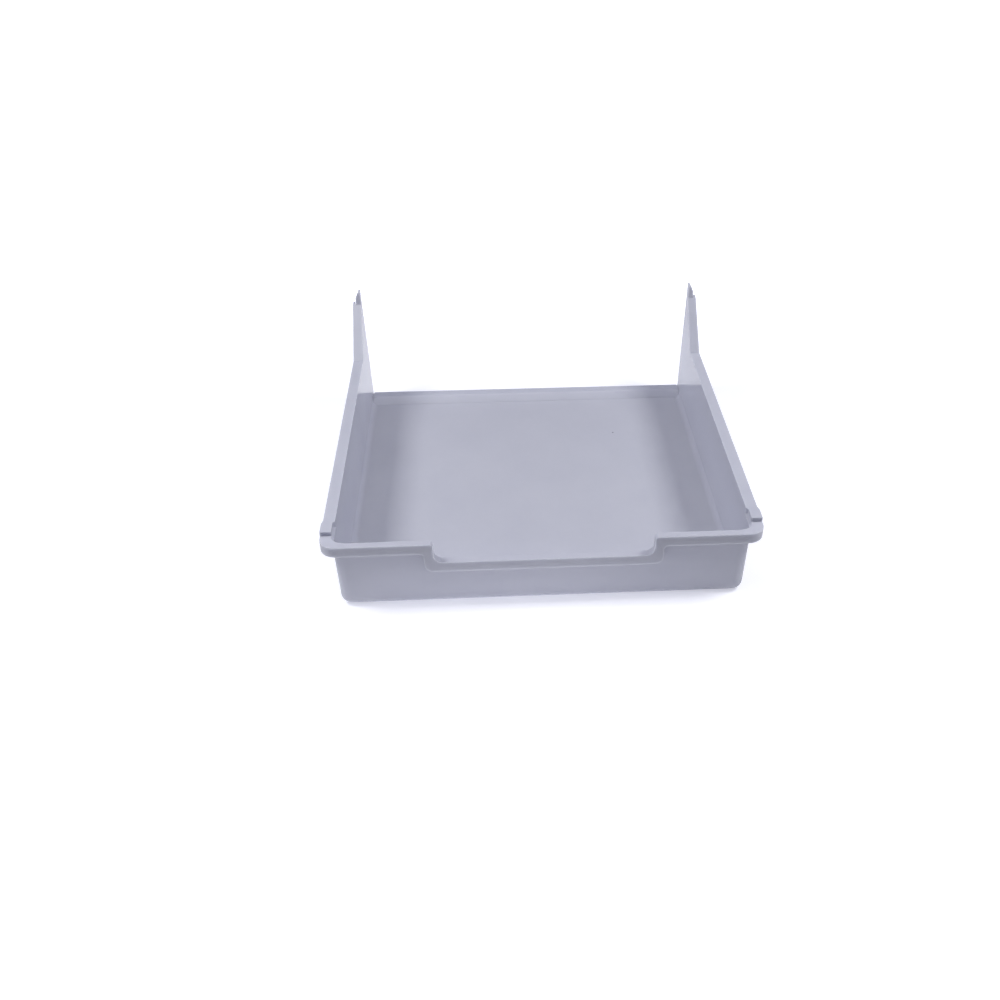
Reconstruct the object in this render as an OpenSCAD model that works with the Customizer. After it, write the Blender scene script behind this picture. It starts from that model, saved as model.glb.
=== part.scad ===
// Moulded freezer drawer tray: one thin-walled piece, open above, with a
// dipped grip edge at one end and a low ledge between two raised ears at the other end.
// Millimetres, +Z up. Origin: centre of the overall box in plan, on the underside.
// -Y is the end with the grip dip, +Y is the end with the ledge and the ears.

/* [Overall] */
// width over the long side rims
rim_w = 435; // [360:1:520]
// length from the dipped rim to the foot of the low wall
tray_l = 404; // [320:0.5:480]
// height of the long side rims above the underside
side_h = 85.4; // [74:0.1:120]
// how far the dipped end rim lies below the side rims
rim_drop = 5; // [3:0.1:8]
// height of the ear tips above the underside
ear_h = 154; // [148:1:240]

/* [Walls] */
// plastic thickness
wall = 2.5; // [2:0.1:3.2]
// lean of every wall, degrees from upright
draft = 1.6; // [1:0.1:3]
// outer radius between the floor and the walls
base_r = 9.5; // [6:0.5:10]
// outer radius of the two upright corners, at the side rim
corner_r = 14; // [13.6:0.2:20]

/* [Rim] */
// width of the side rim seen from above
side_rim = 12; // [10:0.5:18]
// width of the dipped end rim seen from above
end_rim = 8; // [7:0.1:12]
// depth of the turned-down edge below the end rim
skirt = 11.3; // [8:0.1:16]
// outward step of the rim at the two dipped corners
corner_step = 1.5; // [0.5:0.1:2]
// distance from the end of the rim over which it steps outward
step_l = 38; // [34:1:60]
// distance of the level change from the end of the rim
riser_y = 20.4; // [19:0.1:24]
// outer radius of the two rim corners seen from above
rim_r = 16; // [14:0.5:17]

/* [Grip dip] */
// clear width of the dip
dip_w = 217.8; // [120:1:300]
// depth of the dip below the end rim
dip_d = 22.1; // [14:0.5:26]
// radius in the two lower corners of the dip
dip_r = 9; // [5:0.5:11]
// radius where the dip meets the rim
dip_lead = 3.5; // [2:0.5:5]
// width of the turned-down edge beside the dip
dip_band = 9.3; // [7:0.1:14]
// radius where that edge turns down beside the dip
band_r = 5; // [3:0.5:7]

/* [Ledge] */
// height of the ledge above the underside
ledge_h = 10.8; // [9:0.1:14]
// lean of the low wall below the ledge, degrees from upright
low_lean = 44; // [5:1:45]
// depth of the ledge, from the low wall to its free edge
ledge_d = 12.5; // [8:0.1:16]
// width of the groove between each end of the ledge and the side wall
slot_w = 1.2; // [0.6:0.1:3]
// how far the groove goes down the low wall
slot_d = 4.2; // [3:0.1:5]
// how deep the groove goes into the plastic
slot_cut = 1.5; // [0.8:0.1:1.5]

/* [Ears] */
// distance from the foot of the low wall back to the start of the ear slope
ear_run = 32; // [24:0.5:60]
// height of the top of the ear slope above the underside
slope_h = 138.2; // [125:0.1:144]
// distance from the foot of the low wall to the front of the ear tip
tip_y = 18.4; // [14:0.2:22]
// distance from the foot of the low wall to the back of the ear tip
back_y = 28.8; // [28:0.1:34]
// width of the upright front edge of the ear tip
tip_w = 8; // [6:0.1:10]

/* [Hidden] */
$fn = 96;
nick = 0.006;                          // how far a rounding crosses the flat beside it, so that they meet at a clear edge
td = tan(draft);
cd = cos(draft);
end_h = side_h - rim_drop;             // dipped end rim level
total_l = tray_l + back_y;             // overall length
half_out = rim_w/2 - side_rim + wall;  // outside of the side wall at side_h
end_out = end_rim - wall;              // outside of the end wall at end_h
x_ax = half_out - corner_r;            // corner axis
y_ax = end_out + corner_r - rim_drop*td;
low_skirt = end_h - skirt;             // bottom of the turned-down edge
bend_y = tray_l - ear_run;             // start of the ear slope
tip_f = tray_l + tip_y;                // front face of the ear tip
slope_a = atan2(slope_h - side_h, tip_f - bend_y);
rim_x = rim_w/2;                       // outer edge of the side rim
rim_xc = rim_w/2 + corner_step;        // the same at the stepped corners
pk_x = half_out;                       // inner edge of the rim at the stepped corners
pk_y = end_rim + 10.6;
pk_z = side_h - 9;                     // foot of the recess inside the stepped corner
pk_a = 3.6;                            // height and depth of its sloping foot
pk_d = 0.4;                            // how far it stays inside pk_x above that foot
top = ear_h + 4;
low_ro = wall + 0.5;                          // outer radius below the low wall
low_t = tan(low_lean);
low_c = cos(low_lean);
low_in = tray_l - wall*low_t;                 // inner face of the low wall, carried down to the underside
low_out = low_in + wall/low_c;                // outer face of the low wall at the underside
low_cx = low_out - low_ro*(1 - sin(low_lean))/low_c;  // axis of the rounding below it
ledge_y = low_in + ledge_h*low_t;             // front edge of the ledge
ledge_e = ledge_y + ledge_d;                  // free edge of the ledge

// side section measured from the corner axis, floor to height h
sr0 = corner_r - side_h*td;                 // outside of the wall at the underside
scx = sr0 + base_r*td - base_r/cd;          // axis of the rounding
module sec_outer(h) {
  intersection() {
    union() {
      polygon([[0, 0], [scx, 0], [scx, base_r - 1], [scx + base_r*cd, base_r - base_r*sin(draft)],
               [sr0 + top*td, top], [0, top]]);
      translate([scx + nick, base_r - nick]) circle(r = base_r);
    }
    square([200, h]);
  }
}
module sec_inner() {
  ri = base_r - wall;
  polygon([[-1, wall], [scx, wall], [scx, base_r - 1], [scx + ri*cd, base_r - ri*sin(draft)],
           [sr0 - wall/cd + (top + 1)*td, top + 1], [-1, top + 1]]);
  translate([scx + nick, base_r - nick]) circle(r = ri);
}
module section(h) {
  difference() {
    sec_outer(h);
    sec_inner();
  }
}

// extrudes a (y, z) drawing along +X from x0 to x1
module along_x(x0, x1) {
  translate([x0, 0, 0]) rotate([90, 0, 90]) linear_extrude(height = x1 - x0) children();
}
// extrudes an (x, z) drawing along +Y from y0 to y1
module along_y(y0, y1) {
  translate([0, y0, 0]) rotate([90, 0, 0]) mirror([0, 0, 1]) linear_extrude(height = y1 - y0) children();
}

// middle of the low wall's thickness at height z
function low_mid(z) = low_in + wall/low_c/2 + z*low_t;
// outline of a side wall and its ear, in (y, z)
module side_outline() {
  polygon([[y_ax - 1, -1], [y_ax - 1, end_h], [riser_y, end_h], [riser_y, side_h], [bend_y, side_h],
           [tip_f, slope_h], [tip_f, ear_h], [total_l, ear_h], [ledge_e, ledge_h],
           [ledge_e - 1, ledge_h - wall/2], [low_mid(ledge_h - wall/2), ledge_h - wall/2], [low_mid(low_ro), low_ro], [low_cx, wall/2], [low_cx - 4, -1]]);
}
// everything on the outer side of the inner face of the right side wall
module beyond_inner_face() {
  xi = half_out - wall/cd - side_h*td;
  along_y(-5, total_l + 5) polygon([[xi - 5*td, -5], [xi + (top + 5)*td, top + 5], [rim_xc + 20, top + 5], [rim_xc + 20, -5]]);
}

module side_wall() {
  intersection() {
    along_y(y_ax, total_l + 1) translate([x_ax, 0]) section(top);
    along_x(0, rim_xc + 20) side_outline();
  }
}
module end_corner() {
  translate([x_ax, y_ax, 0]) rotate([0, 0, -90]) rotate_extrude(angle = 90) section(end_h);
}
// the space inside the middle of the wall thickness, round one corner
module core_space() {
  r1 = corner_r - wall/2 - side_h*td;
  r2 = r1 + 120*td;
  translate([x_ax, y_ax, 0]) rotate([0, 0, -90]) rotate_extrude(angle = 90) polygon([[0, 0], [r1, 0], [r2, 120], [0, 120]]);
  translate([x_ax, 0, 0]) along_y(y_ax, step_l + 60) polygon([[-30, 0], [r1, 0], [r2, 120], [-30, 120]]);
  translate([x_ax - 30, y_ax - r1, 0]) cube([30, 120, 120]);
}

// grip dip opening, in (x, z)
module dip_open(top_z = 140) {
  zb = end_h - dip_d;
  translate([-dip_w/2, zb + dip_r]) square([dip_w, top_z - zb]);
  translate([-dip_w/2 + dip_r, zb]) square([dip_w - 2*dip_r, dip_r + 1]);
  for (s = [-1, 1]) translate([s*(dip_w/2 - dip_r), zb + dip_r]) circle(r = dip_r);
  for (s = [-1, 1]) difference() {
    translate([s*dip_w/2 - (s > 0 ? 1 : dip_lead), end_h - dip_lead]) square([dip_lead + 1, dip_lead + 10]);
    translate([s*(dip_w/2 + dip_lead), end_h - dip_lead]) circle(r = dip_lead);
  }
}
// the outline of the turned-down edge round the dip, in (x, z)
module band_outline() {
  r = dip_r;
  x = dip_w/2 + dip_band;
  zb = end_h - dip_d - skirt;
  translate([-x, zb + r]) square([2*x, end_h - zb - r]);
  translate([-x + r, zb]) square([2*x - 2*r, r + 1]);
  for (s = [-1, 1]) translate([s*(x - r), zb + r]) circle(r = r);
  // inner rounding at the corner where the turned-down edge leaves the level rim
  difference() {
    translate([x - 1, low_skirt - band_r]) square([band_r + 1, band_r + 1]);
    translate([x + band_r - nick, low_skirt - band_r + nick]) circle(r = band_r);
  }
}

// rim seen from above: outer edge, right half
module rim_plan() {
  r = rim_r;
  polygon([[0, 0], [rim_xc - r, 0], [rim_xc - r, r], [rim_xc, r], [rim_xc, step_l - 4], [rim_x, step_l + 2],
           [rim_x, total_l], [0, total_l]]);
  translate([rim_xc - r, r]) circle(r = r);
}
// same edge moved inward by the plastic thickness
module rim_plan_in() {
  r = rim_r - wall;
  polygon([[-1, wall], [rim_xc - rim_r, wall], [rim_xc - rim_r, rim_r], [rim_xc - wall, rim_r],
           [rim_xc - wall, step_l - 4], [rim_x - wall, step_l + 2], [rim_x - wall, total_l + 1], [-1, total_l + 1]]);
  translate([rim_xc - rim_r, rim_r]) circle(r = r);
}
// plan area outside the tray walls, right half
module outside_walls_plan() {
  difference() {
    rim_plan();
    polygon([[-1, end_rim - 1], [x_ax, end_rim - 1], [x_ax, y_ax], [half_out - 1, y_ax], [half_out - 1, total_l + 1], [-1, total_l + 1]]);
    translate([x_ax, y_ax]) circle(r = corner_r - 0.9);
  }
}

// level rim of the dipped end and its two corners, right half
module end_rim_plate() {
  intersection() {
    translate([0, 0, end_h - wall]) linear_extrude(height = wall) outside_walls_plan();
    translate([-1, -1, 0]) cube([300, riser_y + wall + 1, 200]);
  }
  // short upright between the two rim levels
  intersection() {
    translate([0, 0, end_h - wall]) linear_extrude(height = rim_drop + wall) outside_walls_plan();
    translate([half_out - 1, riser_y, 0]) cube([60, wall, 200]);
  }
}
// turned-down edge round the dipped end, right half
module skirt_end() {
  intersection() {
    translate([0, 0, low_skirt]) linear_extrude(height = skirt) difference() { rim_plan(); rim_plan_in(); }
    translate([-1, -1, 0]) cube([300, riser_y + wall + 1, 200]);
  }
}
// higher rim of the side, its slope up the ear and its turned-down edge, right half
module side_rim_band() {
  sa = sin(slope_a); ca = cos(slope_a);
  q1 = [bend_y + wall*tan(slope_a/2), side_h - wall];
  q2 = [tip_f + wall, slope_h + wall*sa/ca - wall/ca];
  w2 = skirt + 0.7;
  s1 = [bend_y + w2*sa - (side_h - w2*ca - low_skirt)/tan(slope_a), low_skirt];
  s2 = [tip_f + w2*sa + 40*ca, slope_h - w2*ca + 40*sa];
  intersection() {
    along_x(half_out - 6, rim_x + 5)
      polygon([[riser_y, side_h], [riser_y, side_h - wall], q1, q2, [tip_f + wall, slope_h], [tip_f, slope_h], [bend_y, side_h]]);
    linear_extrude(height = top) rim_plan();
    beyond_inner_face();
  }
  intersection() {
    along_x(rim_x - 10, rim_x + 5)
      polygon([[riser_y, side_h], [riser_y, low_skirt], s1, s2, [s2[0], slope_h], [tip_f, slope_h], [bend_y, side_h]]);
    along_x(0, rim_x + 5) side_outline();
    linear_extrude(height = slope_h) difference() { rim_plan(); rim_plan_in(); }
  }
  // upright front edge of the ear tip
  intersection() {
    along_y(tip_f, tip_f + wall) polygon([[200, slope_h - 2], [half_out + tip_w - wall, slope_h - 2], [half_out + tip_w - wall, ear_h - 7.5],
                                          [half_out + 2, ear_h], [200, ear_h]]);
    beyond_inner_face();
  }
}

// recess inside the rim at each stepped corner
module flare(grow = 0) {
  px = pk_x + grow;
  x0 = pk_x - 10;
  r1 = px - x0 - pk_a - pk_d;
  r2 = px - x0 - pk_d;
  r3 = r2 + 20*td;
  translate([x0, pk_y, pk_z]) rotate([0, 0, -90]) rotate_extrude(angle = 90) polygon([[0, 0], [r1, 0], [r2, pk_a], [r3, pk_a + 20], [0, pk_a + 20]]);
  intersection() {
    translate([x0, 0, pk_z]) along_y(pk_y, step_l + 8) polygon([[0, 0], [r1, 0], [r2, pk_a], [r3, pk_a + 20], [0, pk_a + 20]]);
    translate([0, 0, pk_z - 1]) linear_extrude(height = 40)
      polygon([[x0 - 5, pk_y - 5], [px + 8, pk_y - 5], [px + 8, step_l - 11 + grow], [x0 - 5, step_l + 12 + grow]]);
  }
}
// plastic behind the recess, under the rim
module flare_back() {
  difference() {
    intersection() {
      flare(wall);
      along_x(0, 260) polygon([[0, 0], [0, end_h], [riser_y, end_h], [riser_y, side_h], [100, side_h], [100, 0]]);
    }
    core_space();
  }
}

// low wall and ledge at the eared end, in (y, z)
module low_profile() {
  ri = low_ro - wall;
  difference() {
    union() {
      polygon([[low_in - 12, 0], [low_cx, 0], [low_cx, low_ro - 1], [low_cx + low_ro*low_c, low_ro - low_ro*sin(low_lean)],
               [low_out + (ledge_h - wall)*low_t, ledge_h - wall], [ledge_e, ledge_h - wall],
               [ledge_e, ledge_h], [low_in - 12, ledge_h]]);
      intersection() {
        translate([low_cx + nick, low_ro - nick]) circle(r = low_ro);
        translate([low_cx - 20, 0]) square([40, 40]);
      }
    }
    polygon([[low_in - 13, wall], [low_cx, wall], [low_cx, low_ro - 0.2], [low_cx + ri*low_c, low_ro - ri*sin(low_lean)],
             [low_in + (ledge_h + 1)*low_t, ledge_h + 1], [low_in - 13, ledge_h + 1]]);
    translate([low_cx + nick, low_ro - nick]) circle(r = ri);
  }
}
// the ends of the low wall that run into the side wall, right half
module low_wall_end() {
  intersection() {
    along_x(x_ax, half_out) low_profile();
    along_y(200, total_l) translate([x_ax, 0]) sec_outer(ledge_h + 5);
  }
}
module ledge_groove() {
  x = half_out - wall/cd - (side_h - ledge_h + slot_d)*td;
  z0 = ledge_h - slot_d;
  z1 = ledge_h - slot_cut;
  along_x(x - slot_w, x)
    polygon([[low_in + z0*low_t - 2, z0], [low_in + z0*low_t + slot_cut/low_c, z0], [low_in + z1*low_t + slot_cut/low_c, z1],
             [ledge_e + 5, z1], [ledge_e + 5, ledge_h + 3], [low_in + z0*low_t - 2, ledge_h + 3]]);
}

// end wall with the dip and its rim, floor and low wall, from the middle plane to the side wall
module middle() {
  along_x(0, x_ax) {
    translate([y_ax, 0]) mirror([1, 0]) section(end_h);
    translate([y_ax - 1, 0]) square([tray_l - 6 - y_ax, wall]);
    low_profile();
  }
  // rim shelf that follows the dip
  along_y(wall - 0.5, end_rim - 0.6) intersection() {
    difference() {
      translate([0, end_h - dip_d - wall]) square([dip_w/2 + 14, dip_d + wall]);
      dip_open();
    }
    union() {
      translate([0, end_h - dip_d - wall]) square([dip_w/2 + wall, dip_d + wall - dip_lead]);
      translate([0, end_h - dip_lead - wall]) square([dip_w/2 + dip_lead + wall, dip_lead + wall]);
    }
  }
  // turned-down edge round the dip
  along_y(0, wall) intersection() {
    translate([0, end_h - dip_d - skirt - 1]) square([dip_w/2 + dip_band + 8, dip_d + skirt + 1]);
    union() {
      band_outline();
      translate([0, low_skirt]) square([dip_w/2 + dip_band + 8, skirt]);
    }
  }
}

module half_tray() {
  difference() {
    union() {
      difference() {
        union() {
          end_corner();
          side_wall();
          middle();
          end_rim_plate();
          skirt_end();
          side_rim_band();
          flare_back();
        }
        along_y(-5, 30) dip_open();
        flare();
      }
      low_wall_end();
    }
    ledge_groove();
  }
}

module drawer_tray() {
  color([0.78, 0.79, 0.85])
  translate([0, -total_l/2, 0]) {
    half_tray();
    mirror([1, 0, 0]) half_tray();
  }
}

drawer_tray();
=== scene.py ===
import math

import bmesh
import bpy
from mathutils import Matrix, Vector
from mathutils.bvhtree import BVHTree
from mathutils.geometry import intersect_point_line


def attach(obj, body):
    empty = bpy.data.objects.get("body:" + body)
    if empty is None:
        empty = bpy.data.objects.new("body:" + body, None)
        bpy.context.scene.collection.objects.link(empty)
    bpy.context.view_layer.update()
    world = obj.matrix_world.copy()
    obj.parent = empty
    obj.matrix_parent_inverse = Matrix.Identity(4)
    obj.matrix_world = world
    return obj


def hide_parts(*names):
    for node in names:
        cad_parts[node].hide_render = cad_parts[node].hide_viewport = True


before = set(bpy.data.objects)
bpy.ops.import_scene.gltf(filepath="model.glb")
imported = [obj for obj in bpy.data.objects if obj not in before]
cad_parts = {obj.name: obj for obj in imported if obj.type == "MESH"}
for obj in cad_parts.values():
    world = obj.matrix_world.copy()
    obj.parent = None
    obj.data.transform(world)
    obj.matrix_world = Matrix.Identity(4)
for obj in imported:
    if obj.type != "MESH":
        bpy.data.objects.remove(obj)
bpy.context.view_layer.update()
scene = bpy.context.scene

# ---------------------------------------------------------------- settings
EDGE_R = 0.0004          # rounding of every moulded edge, metres
ROOM = (0.20, 0.205, 0.28)  # colour of the room round the table
ROOM_FRONT = 0.2  # how much of it is left in front, where someone stands
TABLE_TONE = 0.85  # grey of the table round the drawer
FRONT_SHADE_TONE = 0.06  # painted shade: the table made darker farther out in front, where less light falls
TABLE_SHOWS = 0.45  # extra light of the table as the camera sees it
BEHIND_GLOW = 0.34  # extra light thrown by the table behind the drawer
FOOT_GLOW = 0.5  # extra light thrown by the table at the foot of the dipped end
FOOT_X = -0.045  # middle of that patch
FOOT_W = 0.36  # half its width
FOOT_D = 0.14  # half its depth
LIGHT_X = 0.955  # overhead lights: distance left and right of the middle
LIGHT_Y = -0.12  # their middle along the drawer
LIGHT_Z = 1.2  # height above the table
LIGHT_W = 0.525  # width
LIGHT_L = 0.44  # length
LIGHT_POWER = 10.7  # watts each
MIDDLE_Y = -0.50  # a weak light from the ceiling in front of the drawer
MIDDLE_POWER = 3.0  # watts


# ---------------------------------------------------------------- mesh
def near_edge(point, a, b):
    """Distance from a point to the edge between a and b."""
    foot, part = intersect_point_line(point, a, b)
    return (point - (a if part < 0 else b if part > 1 else foot)).length


def joined(mesh):
    """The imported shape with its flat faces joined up."""
    bm = bmesh.new()
    bm.from_mesh(mesh)
    bmesh.ops.remove_doubles(bm, verts=bm.verts, dist=2e-5)
    bmesh.ops.dissolve_limit(
        bm,
        angle_limit=math.radians(0.15),
        use_dissolve_boundaries=False,
        verts=bm.verts,
        edges=bm.edges,
    )
    bm.normal_update()
    bm.edges.index_update()
    return bm


def rounded_shell(node, name):
    """A copy of the CAD node's shape with every moulded edge rounded. An edge stays as it is
    where the face beside it is too narrow for the rounding."""
    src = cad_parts[node]
    packed = bmesh.new()
    packed.from_mesh(src.data)
    skin = BVHTree.FromBMesh(packed)
    packed.free()
    narrow = set()
    for turn in range(8):
        bm = joined(src.data)
        sharp = [
            e
            for e in bm.edges
            if len(e.link_faces) == 2
            and e.calc_face_angle(0.0) > math.radians(24)
            and e.index not in narrow
        ]
        where = [(e.index, e.verts[0].co.copy(), e.verts[1].co.copy()) for e in sharp]
        marker = bm.faces.layers.float.new("edge_wear")
        made = bmesh.ops.bevel(
            bm,
            geom=sharp,
            offset=EDGE_R,
            offset_type="OFFSET",
            segments=3,
            profile=0.5,
            affect="EDGES",
            clamp_overlap=False,
            miter_outer="SHARP",
            miter_inner="SHARP",
            loop_slide=True,
        )
        for f in made["faces"]:
            f[marker] = 1.0
        bmesh.ops.triangulate(
            bm, faces=[f for f in bm.faces if len(f.verts) > 4], ngon_method="BEAUTY"
        )
        bm.normal_update()
        folded = []
        for f in bm.faces:
            if f.calc_area() > 1e-10:
                _, n, _, d = skin.find_nearest(f.calc_center_median())
                if f.normal.dot(n) < 0.2 or d > EDGE_R * 0.9:
                    folded.append(f)
        if not folded:
            break
        for f in folded:
            points = [f.calc_center_median()] + [v.co for v in f.verts]
            gaps = [(min(near_edge(p, a, b) for p in points), i) for i, a, b in where]
            close = [i for d, i in gaps if d < 2.5 * EDGE_R]
            narrow.update(close or [min(gaps)[1]])
        bm.free()
    for f in bm.faces:
        f.smooth = True
    for e in bm.edges:
        if len(e.link_faces) == 2 and e.calc_face_angle(0.0) > math.radians(40):
            e.smooth = False
    mesh = bpy.data.meshes.new(name)
    bm.to_mesh(mesh)
    bm.free()
    obj = bpy.data.objects.new(name, mesh)
    scene.collection.objects.link(obj)
    return obj


shell = rounded_shell("drawer_tray", "tray_shell")
mod = shell.modifiers.new("even_shading", "WEIGHTED_NORMAL")
mod.mode = "FACE_AREA"
mod.weight = 50
mod.keep_sharp = True
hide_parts("drawer_tray")
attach(shell, "root")


# ---------------------------------------------------------------- materials
def plastic():
    m = bpy.data.materials.new("drawer_plastic")
    m.use_nodes = True
    t = m.node_tree
    t.nodes.clear()
    link = t.links.new
    out = t.nodes.new("ShaderNodeOutputMaterial")
    bsdf = t.nodes.new("ShaderNodeBsdfPrincipled")
    link(bsdf.outputs["BSDF"], out.inputs["Surface"])
    bsdf.inputs["IOR"].default_value = 1.5
    bsdf.inputs["Subsurface Weight"].default_value = 1.0
    bsdf.inputs["Subsurface Radius"].default_value = (1.0, 1.0, 1.0)
    bsdf.inputs["Subsurface Scale"].default_value = 0.005

    place = t.nodes.new("ShaderNodeTexCoord")
    where = place.outputs["Object"]

    # slow drift of the moulded colour
    drift = t.nodes.new("ShaderNodeTexNoise")
    drift.inputs["Scale"].default_value = 14.0
    drift.inputs["Detail"].default_value = 3.0
    drift.inputs["Roughness"].default_value = 0.55
    link(where, drift.inputs["Vector"])
    tone = t.nodes.new("ShaderNodeValToRGB")
    tone.color_ramp.elements[0].position = 0.30
    tone.color_ramp.elements[0].color = (0.600, 0.608, 0.668, 1)
    tone.color_ramp.elements[1].position = 0.72
    tone.color_ramp.elements[1].color = (0.625, 0.632, 0.690, 1)
    link(drift.outputs["Fac"], tone.inputs["Fac"])

    # fine grain of the pigment
    grain = t.nodes.new("ShaderNodeTexNoise")
    grain.inputs["Scale"].default_value = 220.0
    grain.inputs["Detail"].default_value = 0.5
    link(where, grain.inputs["Vector"])
    grain_amount = t.nodes.new("ShaderNodeMapRange")
    grain_amount.inputs["To Min"].default_value = 0.993
    grain_amount.inputs["To Max"].default_value = 1.007
    link(grain.outputs["Fac"], grain_amount.inputs["Value"])
    grained = t.nodes.new("ShaderNodeVectorMath")
    grained.operation = "SCALE"
    link(tone.outputs["Color"], grained.inputs[0])
    link(grain_amount.outputs["Result"], grained.inputs["Scale"])

    # edges rubbed a little lighter
    wear = t.nodes.new("ShaderNodeAttribute")
    wear.attribute_name = "edge_wear"
    rub = t.nodes.new("ShaderNodeTexNoise")
    rub.inputs["Scale"].default_value = 120.0
    rub.inputs["Detail"].default_value = 4.0
    link(where, rub.inputs["Vector"])
    rub_part = t.nodes.new("ShaderNodeMapRange")
    rub_part.inputs["From Min"].default_value = 0.45
    rub_part.inputs["From Max"].default_value = 0.75
    rub_part.inputs["To Min"].default_value = 0.0
    rub_part.inputs["To Max"].default_value = 0.45
    link(rub.outputs["Fac"], rub_part.inputs["Value"])
    rubbed = t.nodes.new("ShaderNodeMath")
    rubbed.operation = "MULTIPLY"
    link(wear.outputs["Fac"], rubbed.inputs[0])
    link(rub_part.outputs["Result"], rubbed.inputs[1])
    worn = t.nodes.new("ShaderNodeMix")
    worn.data_type = "RGBA"
    worn.inputs["B"].default_value = (0.67, 0.675, 0.71, 1)
    link(rubbed.outputs["Value"], worn.inputs["Factor"])
    link(grained.outputs["Vector"], worn.inputs["A"])

    # one small dark speck on the floor of the drawer, right of the middle
    spot = t.nodes.new("ShaderNodeVectorMath")
    spot.operation = "DISTANCE"
    spot.inputs[1].default_value = (0.1046, 0.1038, 0.0025)
    link(where, spot.inputs[0])
    spot_part = t.nodes.new("ShaderNodeMapRange")
    spot_part.inputs["From Min"].default_value = 0.0006
    spot_part.inputs["From Max"].default_value = 0.0014
    spot_part.inputs["To Min"].default_value = 0.75
    spot_part.inputs["To Max"].default_value = 0.0
    link(spot.outputs["Value"], spot_part.inputs["Value"])
    spotted = t.nodes.new("ShaderNodeMix")
    spotted.data_type = "RGBA"
    spotted.inputs["B"].default_value = (0.09, 0.09, 0.11, 1)
    link(spot_part.outputs["Result"], spotted.inputs["Factor"])
    link(worn.outputs["Result"], spotted.inputs["A"])
    link(spotted.outputs["Result"], bsdf.inputs["Base Color"])

    # gloss, duller where hands and food have rubbed it
    dull = t.nodes.new("ShaderNodeTexNoise")
    dull.inputs["Scale"].default_value = 38.0
    dull.inputs["Detail"].default_value = 5.0
    dull.inputs["Roughness"].default_value = 0.6
    link(where, dull.inputs["Vector"])
    gloss = t.nodes.new("ShaderNodeMapRange")
    gloss.inputs["From Min"].default_value = 0.3
    gloss.inputs["From Max"].default_value = 0.7
    gloss.inputs["To Min"].default_value = 0.10
    gloss.inputs["To Max"].default_value = 0.15
    link(dull.outputs["Fac"], gloss.inputs["Value"])
    rough = t.nodes.new("ShaderNodeMath")
    rough.operation = "ADD"
    link(gloss.outputs["Result"], rough.inputs[0])
    link(rubbed.outputs["Value"], rough.inputs[1])
    rough.use_clamp = True
    link(rough.outputs["Value"], bsdf.inputs["Roughness"])

    # relief: slow waviness of thin plastic, a fine moulded skin and hair scratches
    wave = t.nodes.new("ShaderNodeTexNoise")
    wave.inputs["Scale"].default_value = 9.0
    wave.inputs["Detail"].default_value = 1.0
    link(where, wave.inputs["Vector"])
    bump1 = t.nodes.new("ShaderNodeBump")
    bump1.inputs["Strength"].default_value = 0.08
    bump1.inputs["Distance"].default_value = 0.0012
    link(wave.outputs["Fac"], bump1.inputs["Height"])

    skin = t.nodes.new("ShaderNodeTexNoise")
    skin.inputs["Scale"].default_value = 260.0
    skin.inputs["Detail"].default_value = 0.0
    link(where, skin.inputs["Vector"])
    bump2 = t.nodes.new("ShaderNodeBump")
    bump2.inputs["Strength"].default_value = 0.05
    bump2.inputs["Distance"].default_value = 0.0001
    link(skin.outputs["Fac"], bump2.inputs["Height"])
    link(bump1.outputs["Normal"], bump2.inputs["Normal"])

    turn = t.nodes.new("ShaderNodeMapping")
    turn.inputs["Rotation"].default_value = (0.0, 0.0, 0.5)
    turn.inputs["Scale"].default_value = (18.0, 330.0, 120.0)
    link(where, turn.inputs["Vector"])
    hair = t.nodes.new("ShaderNodeTexNoise")
    hair.inputs["Scale"].default_value = 1.0
    hair.inputs["Detail"].default_value = 0.0
    link(turn.outputs["Vector"], hair.inputs["Vector"])
    hair_part = t.nodes.new("ShaderNodeMapRange")
    hair_part.inputs["From Min"].default_value = 0.66
    hair_part.inputs["From Max"].default_value = 0.78
    link(hair.outputs["Fac"], hair_part.inputs["Value"])
    bump3 = t.nodes.new("ShaderNodeBump")
    bump3.inputs["Strength"].default_value = 0.02
    bump3.inputs["Distance"].default_value = 0.00004
    bump3.invert = True
    link(hair_part.outputs["Result"], bump3.inputs["Height"])
    link(bump2.outputs["Normal"], bump3.inputs["Normal"])
    link(bump3.outputs["Normal"], bsdf.inputs["Normal"])
    return m


shell.data.materials.clear()
shell.data.materials.append(plastic())


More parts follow.
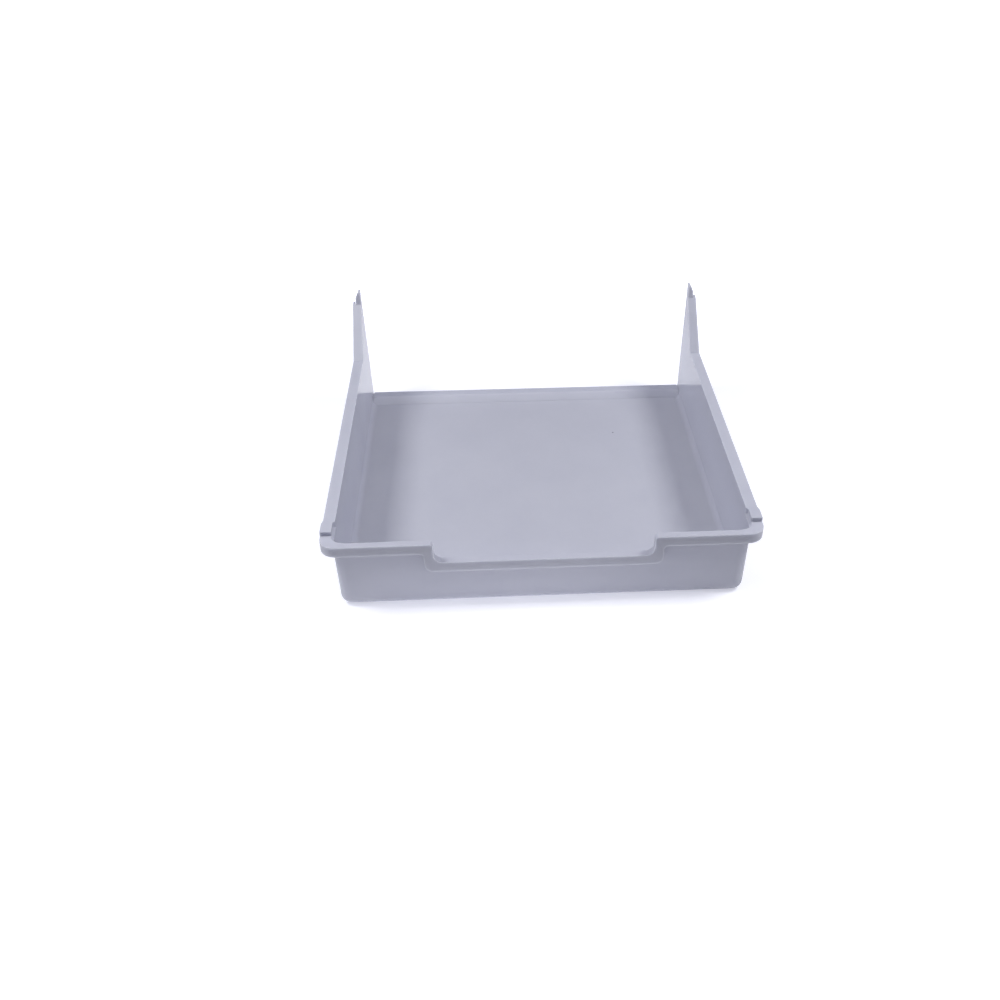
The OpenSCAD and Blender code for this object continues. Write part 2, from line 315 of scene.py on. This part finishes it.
def table_white():
    """White table. It shows white all over; what it throws onto the drawer is brighter behind
    the drawer and just in front of it, and darker farther out in front, where its colour is
    darkened as painted shade."""
    m = bpy.data.materials.new("table_white")
    m.use_nodes = True
    m.cycles.emission_sampling = "NONE"
    t = m.node_tree
    t.nodes.clear()
    link = t.links.new
    out = t.nodes.new("ShaderNodeOutputMaterial")
    add = t.nodes.new("ShaderNodeAddShader")
    diff = t.nodes.new("ShaderNodeBsdfDiffuse")
    glow = t.nodes.new("ShaderNodeEmission")
    glow.inputs["Color"].default_value = (0.96, 0.97, 1.08, 1)
    rays = t.nodes.new("ShaderNodeLightPath")
    place = t.nodes.new("ShaderNodeNewGeometry")
    axes = t.nodes.new("ShaderNodeSeparateXYZ")
    link(place.outputs["Position"], axes.inputs["Vector"])

    # painted shade: the table's colour darkens farther out in front, standing in for the lesser
    # light there
    front_shade = t.nodes.new("ShaderNodeMapRange")
    front_shade.interpolation_type = "SMOOTHSTEP"
    front_shade.inputs["From Min"].default_value = -0.75
    front_shade.inputs["From Max"].default_value = -0.30
    front_shade.inputs["To Min"].default_value = FRONT_SHADE_TONE
    front_shade.inputs["To Max"].default_value = TABLE_TONE
    link(axes.outputs["Y"], front_shade.inputs["Value"])
    link(front_shade.outputs["Result"], diff.inputs["Color"])

    # light table behind the drawer
    behind = t.nodes.new("ShaderNodeMapRange")
    behind.interpolation_type = "SMOOTHSTEP"
    behind.inputs["From Min"].default_value = 0.16
    behind.inputs["From Max"].default_value = 0.26
    behind.inputs["To Min"].default_value = 0.0
    behind.inputs["To Max"].default_value = BEHIND_GLOW
    link(axes.outputs["Y"], behind.inputs["Value"])

    # light patch at the foot of the dipped end
    shift = t.nodes.new("ShaderNodeMapping")
    shift.vector_type = "TEXTURE"
    shift.inputs["Location"].default_value = (FOOT_X, -0.24, 0.0)
    shift.inputs["Scale"].default_value = (FOOT_W, FOOT_D, 1.0)
    link(place.outputs["Position"], shift.inputs["Vector"])
    away = t.nodes.new("ShaderNodeVectorMath")
    away.operation = "LENGTH"
    link(shift.outputs["Vector"], away.inputs[0])
    foot = t.nodes.new("ShaderNodeMapRange")
    foot.interpolation_type = "SMOOTHSTEP"
    foot.inputs["From Min"].default_value = 0.0
    foot.inputs["From Max"].default_value = 1.0
    foot.inputs["To Min"].default_value = FOOT_GLOW
    foot.inputs["To Max"].default_value = 0.0
    link(away.outputs["Value"], foot.inputs["Value"])

    thrown = t.nodes.new("ShaderNodeMath")
    thrown.operation = "ADD"
    link(behind.outputs["Result"], thrown.inputs[0])
    link(foot.outputs["Result"], thrown.inputs[1])
    span = t.nodes.new("ShaderNodeVectorMath")
    span.operation = "LENGTH"
    link(place.outputs["Position"], span.inputs[0])
    shows = t.nodes.new("ShaderNodeMapRange")
    shows.interpolation_type = "SMOOTHSTEP"
    shows.inputs["From Min"].default_value = 0.35
    shows.inputs["From Max"].default_value = 0.64
    shows.inputs["To Min"].default_value = TABLE_SHOWS
    shows.inputs["To Max"].default_value = 1.15
    link(span.outputs["Value"], shows.inputs["Value"])
    amount = t.nodes.new("ShaderNodeMix")
    amount.data_type = "FLOAT"
    link(shows.outputs["Result"], amount.inputs["B"])
    link(rays.outputs["Is Camera Ray"], amount.inputs["Factor"])
    link(thrown.outputs["Value"], amount.inputs["A"])
    link(amount.outputs["Result"], glow.inputs["Strength"])
    link(diff.outputs["BSDF"], add.inputs[0])
    link(glow.outputs["Emission"], add.inputs[1])
    link(add.outputs["Shader"], out.inputs["Surface"])
    return m


# ---------------------------------------------------------------- floor
bpy.ops.mesh.primitive_circle_add(
    vertices=96, radius=9.0, fill_type="NGON", location=(0, 0, -0.0002)
)
floor = bpy.context.object
floor.name = "studio_floor"
floor.data.materials.append(table_white())

# ---------------------------------------------------------------- light
world = bpy.data.worlds.new("room")
scene.world = world
world.use_nodes = True
wt = world.node_tree
bg = wt.nodes["Background"]
bg.inputs["Strength"].default_value = 1.0
look = wt.nodes.new("ShaderNodeTexCoord")
look_axes = wt.nodes.new("ShaderNodeSeparateXYZ")
wt.links.new(look.outputs["Generated"], look_axes.inputs["Vector"])
shade = wt.nodes.new("ShaderNodeMapRange")
shade.interpolation_type = "SMOOTHSTEP"
shade.inputs["From Min"].default_value = -0.95
shade.inputs["From Max"].default_value = -0.15
shade.inputs["To Min"].default_value = ROOM_FRONT
shade.inputs["To Max"].default_value = 1.0
wt.links.new(look_axes.outputs["Y"], shade.inputs["Value"])
tint = wt.nodes.new("ShaderNodeVectorMath")
tint.operation = "SCALE"
tint.inputs[0].default_value = ROOM
wt.links.new(shade.outputs["Result"], tint.inputs["Scale"])
wt.links.new(tint.outputs["Vector"], bg.inputs["Color"])

def overhead(name, x, y, z, width, length, power):
    data = bpy.data.lights.new(name, "AREA")
    data.shape = "RECTANGLE"
    data.size = width
    data.size_y = length
    data.energy = power
    data.color = (0.985, 0.99, 1.0)
    lamp = bpy.data.objects.new(name, data)
    scene.collection.objects.link(lamp)
    lamp.location = (x, y, z)


overhead("overhead_left", -LIGHT_X, LIGHT_Y, LIGHT_Z, LIGHT_W, LIGHT_L, LIGHT_POWER)
overhead("overhead_right", LIGHT_X, LIGHT_Y, LIGHT_Z, LIGHT_W, LIGHT_L, LIGHT_POWER)
overhead("ceiling", -0.1, MIDDLE_Y, 1.5, 0.9, 0.5, MIDDLE_POWER)

# ---------------------------------------------------------------- camera
yaw, pitch, roll = (math.radians(v) for v in (4.09, 35.57, 0.55))
fwd = Vector((math.sin(yaw) * math.cos(pitch), math.cos(yaw) * math.cos(pitch), -math.sin(pitch)))
right = Vector((math.cos(yaw), -math.sin(yaw), 0.0))
up = right.cross(fwd)
right, up = (
    right * math.cos(roll) + up * math.sin(roll),
    up * math.cos(roll) - right * math.sin(roll),
)
cam_data = bpy.data.cameras.new("photo_camera")
cam_data.sensor_width = 36.0
cam_data.lens = 37.8
cam_data.shift_x = -0.05618
cam_data.clip_start = 0.05
cam_data.clip_end = 60.0
cam = bpy.data.objects.new("photo_camera", cam_data)
scene.collection.objects.link(cam)
cam.matrix_world = Matrix(
    (
        (right.x, up.x, -fwd.x, -0.04702),
        (right.y, up.y, -fwd.y, -1.02205),
        (right.z, up.z, -fwd.z, 0.70709),
        (0, 0, 0, 1),
    )
)
scene.camera = cam

scene.view_settings.view_transform = "Standard"
scene.view_settings.look = "None"
scene.view_settings.exposure = 0.0
scene.view_settings.gamma = 1.0

bpy.context.view_layer.update()
